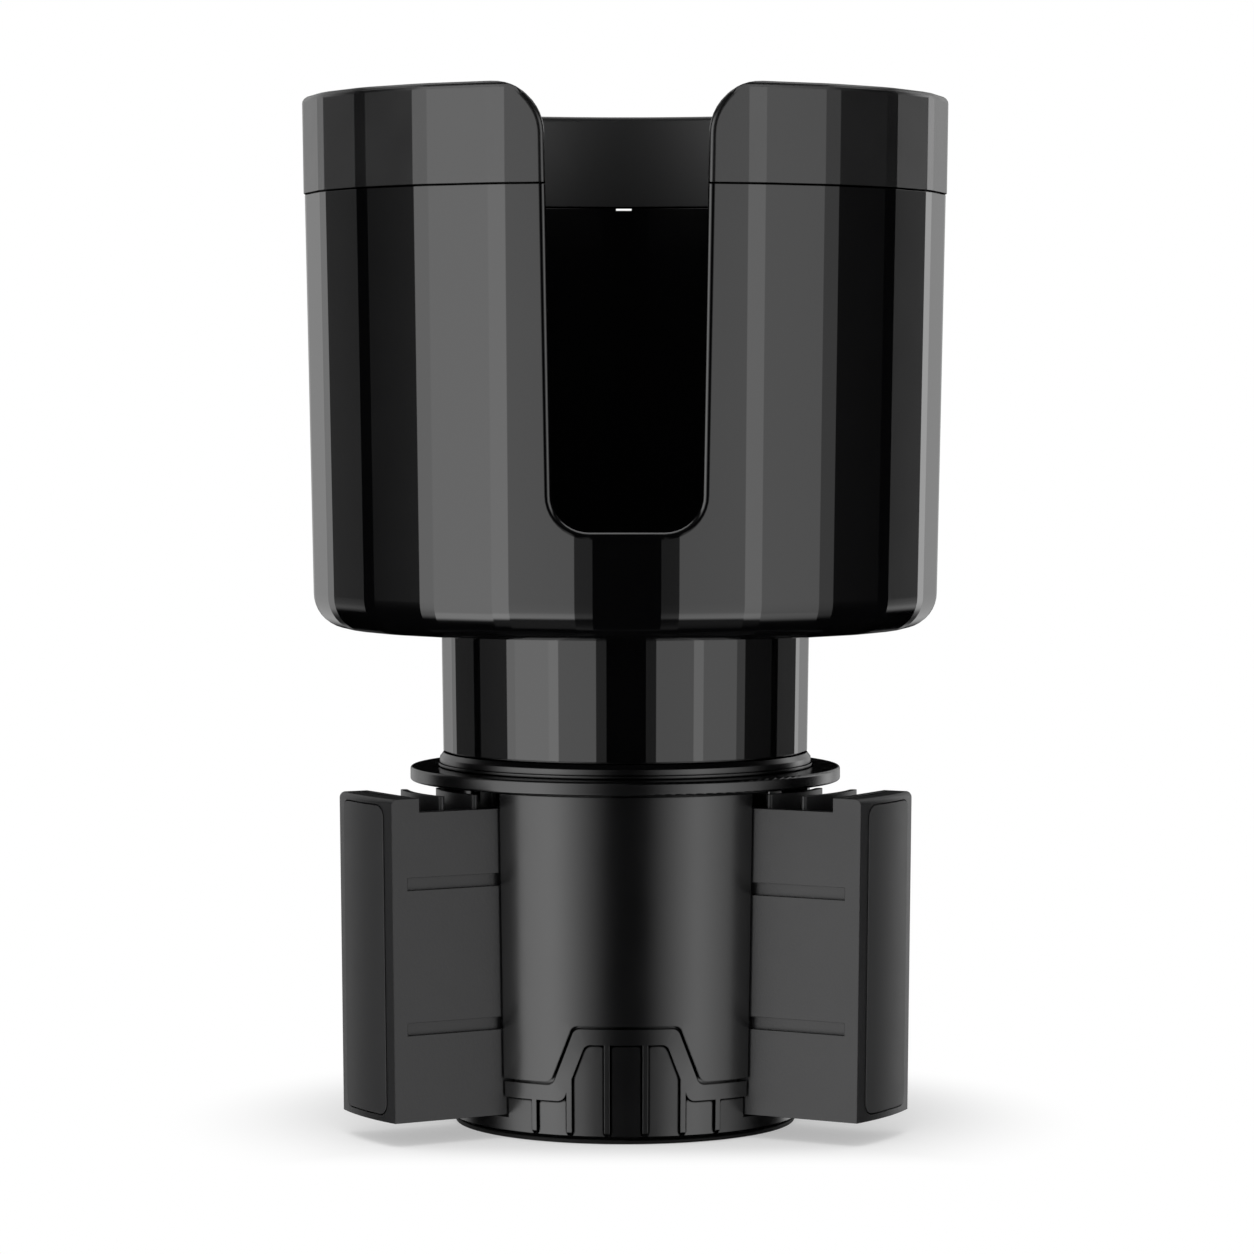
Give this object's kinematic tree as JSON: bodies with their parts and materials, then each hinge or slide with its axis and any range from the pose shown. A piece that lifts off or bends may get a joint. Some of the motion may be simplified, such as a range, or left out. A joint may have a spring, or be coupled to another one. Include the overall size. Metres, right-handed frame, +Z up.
{
  "type": "car cup holder",
  "caption": "Large faceted cup with a handle slot on a turning neck, above a round base whose three padded jaws slide out on a scroll to grip a vehicle's cup well.",
  "frame": {"origin": "centre of the foot pad's underside, where the part stands", "axes": "+Z up along the axis that the cup turns about; -Y towards the handle slot; +X to the right as seen from the slot"},
  "size_m": [0.1084, 0.107, 0.1731],
  "materials": {
    "cup_plastic": "satin moulded, with sharp reflections on flat facets",
    "ring_plastic": "fine satin",
    "base_plastic": "satin moulded",
    "jaw_plastic": "fine spark texture on the flat sides",
    "pad_rubber": "smooth matte",
    "foot_rubber": "matte",
    "zinc_steel": "zinc plated",
    "acetal": "smooth natural"
  },
  "bodies": {
    "base": {"housing": "base_plastic", "base_cap": "base_plastic", "cap_screws": "zinc_steel", "foot_pad": "foot_rubber", "thrust_washer": "acetal"},
    "cup": {"cup_shell": "cup_plastic", "rim_ring": "ring_plastic", "floor_mat": "foot_rubber", "cup_screws": "zinc_steel", "neck_sleeve": "cup_plastic", "neck_screws": "zinc_steel", "scroll_plate": "base_plastic", "centre_screw": "zinc_steel", "centre_washer": "zinc_steel"},
    "left_jaw": {"jaw_1": "jaw_plastic", "jaw_pad_1": "pad_rubber"},
    "right_jaw": {"jaw_2": "jaw_plastic", "jaw_pad_2": "pad_rubber"},
    "back_jaw": {"jaw_3": "jaw_plastic", "jaw_pad_3": "pad_rubber"}
  },
  "joints": [
    {"name": "cup_turn", "type": "hinge", "parent": "base", "child": "cup", "pos_m": [0, 0, 0.05], "axis": [0, 0, 1], "range_deg": [0, 285.7]},
    {"name": "left_jaw_slide", "type": "slide", "parent": "base", "child": "left_jaw", "axis": [-0.866, -0.5, 0], "range_m": [-0.015, 0]},
    {"name": "right_jaw_slide", "type": "slide", "parent": "base", "child": "right_jaw", "axis": [0.866, -0.5, 0], "range_m": [-0.015, 0]},
    {"name": "back_jaw_slide", "type": "slide", "parent": "base", "child": "back_jaw", "axis": [0, 1, 0], "range_m": [-0.015, 0]}
  ],
  "couplings": [
    {"joint": "left_jaw_slide", "follows": "cup_turn", "m_per_rad": -0.003008},
    {"joint": "right_jaw_slide", "follows": "cup_turn", "m_per_rad": -0.003008},
    {"joint": "back_jaw_slide", "follows": "cup_turn", "m_per_rad": -0.003008}
  ]
}
